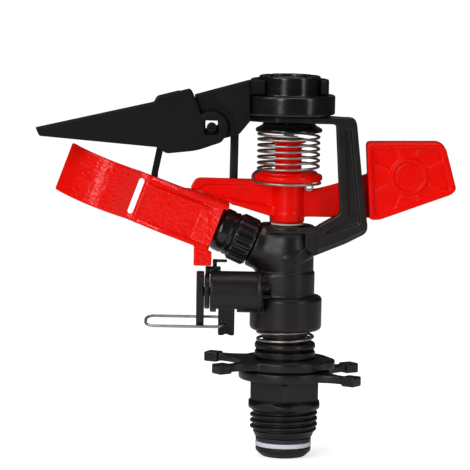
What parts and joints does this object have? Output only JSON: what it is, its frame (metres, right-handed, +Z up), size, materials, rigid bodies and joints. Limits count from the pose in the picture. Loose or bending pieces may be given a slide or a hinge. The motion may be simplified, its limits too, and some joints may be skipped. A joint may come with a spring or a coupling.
{
  "type": "impact sprinkler",
  "caption": "Impact sprinkler head with a sprung rocker arm, spoon and counterweight, a hinged deflector, a trip lever with wire pin, friction trip collars and a male pipe thread.",
  "frame": {"origin": "centre of the inlet opening, on the axis of the male pipe thread", "axes": "+Z up along the thread axis, -X the way the jet leaves the nozzle, -Y the side that carries the trip barrel"},
  "size_m": [0.1294, 0.0354, 0.1186],
  "materials": {
    "black_plastic": "black glass-filled acetal moulding, satin to glossy",
    "red_plastic": "bright red moulded plastic, glossy",
    "white_polymer": "white fluoropolymer washer, satin",
    "black_rubber": "soft black rubber, matte",
    "acetal": "natural acetal, satin",
    "spring_steel": "drawn stainless wire and rod, bright"
  },
  "bodies": {
    "nipple": {"bearing_nipple": "black_plastic", "collar_retainer": "black_plastic", "thrust_washer": "black_plastic", "seal_washer": "black_rubber"},
    "head": {"inlet_tube": "black_plastic", "friction_washer": "white_polymer", "bearing_spring": "spring_steel", "main_body": "black_plastic", "bridge_frame": "black_plastic", "nozzle_nut": "black_plastic", "nozzle": "black_plastic", "jet_straightener": "acetal", "arm_shaft": "spring_steel", "arm_washer": "acetal", "arm_spring": "spring_steel", "deflector_bracket": "black_plastic", "deflector_pin": "black_plastic", "toggle_spring": "spring_steel"},
    "lower_collar": {"lower_trip_collar": "black_plastic"},
    "upper_collar": {"upper_trip_collar": "black_plastic"},
    "arm": {"rocker_arm": "red_plastic", "arm_spoon": "red_plastic", "arm_bushing": "acetal"},
    "tension_cap": {"spring_cap": "black_plastic", "upper_spring_seat": "black_plastic"},
    "deflector": {"deflector_blade": "black_plastic"},
    "lever": {"trip_shaft": "spring_steel", "trip_lever": "black_plastic", "trip_tab": "black_plastic"},
    "pin": {"trip_pin": "spring_steel"},
    "pawl": {"reversing_pawl": "black_plastic"}
  },
  "joints": [
    {"name": "head_swivel", "type": "hinge", "parent": "nipple", "child": "head", "pos_m": [0, 0, 0.03], "axis": [0, 0, 1], "continuous": true},
    {"name": "lower_collar_turn", "type": "hinge", "parent": "nipple", "child": "lower_collar", "pos_m": [0, 0, 0.0258], "axis": [0, 0, 1], "continuous": true},
    {"name": "upper_collar_turn", "type": "hinge", "parent": "nipple", "child": "upper_collar", "pos_m": [0, 0, 0.0292], "axis": [0, 0, 1], "continuous": true},
    {"name": "arm_swing", "type": "hinge", "parent": "head", "child": "arm", "pos_m": [0, 0, 0.086], "axis": [0, 0, 1], "range_deg": [0, 100], "stiffness_Nm_per_rad": 0.02, "springref_deg": -28.65},
    {"name": "spring_tension", "type": "hinge", "parent": "head", "child": "tension_cap", "pos_m": [0, 0, 0.11], "axis": [0, 0, 1], "range_deg": [-150, 150]},
    {"name": "deflector_tilt", "type": "hinge", "parent": "head", "child": "deflector", "pos_m": [-0.0238, -0.0079, 0.1028], "axis": [0, 1, 0], "range_deg": [0, 18]},
    {"name": "trip_lever_swing", "type": "hinge", "parent": "head", "child": "lever", "pos_m": [-0.018, -0.009, 0.0523], "axis": [1, 0, 0], "range_deg": [-40, 0]},
    {"name": "pawl_swing", "type": "hinge", "parent": "head", "child": "pawl", "pos_m": [-0.0244, -0.009, 0.0523], "axis": [1, 0, 0], "range_deg": [0, 40]},
    {"name": "trip_pin_flip", "type": "hinge", "parent": "lever", "child": "pin", "pos_m": [-0.0193, -0.00537, 0.04234], "axis": [0, -0.9397, -0.342], "range_deg": [0, 90]}
  ],
  "couplings": [
    {"joint": "pawl_swing", "follows": "trip_lever_swing", "ratio": -1}
  ]
}
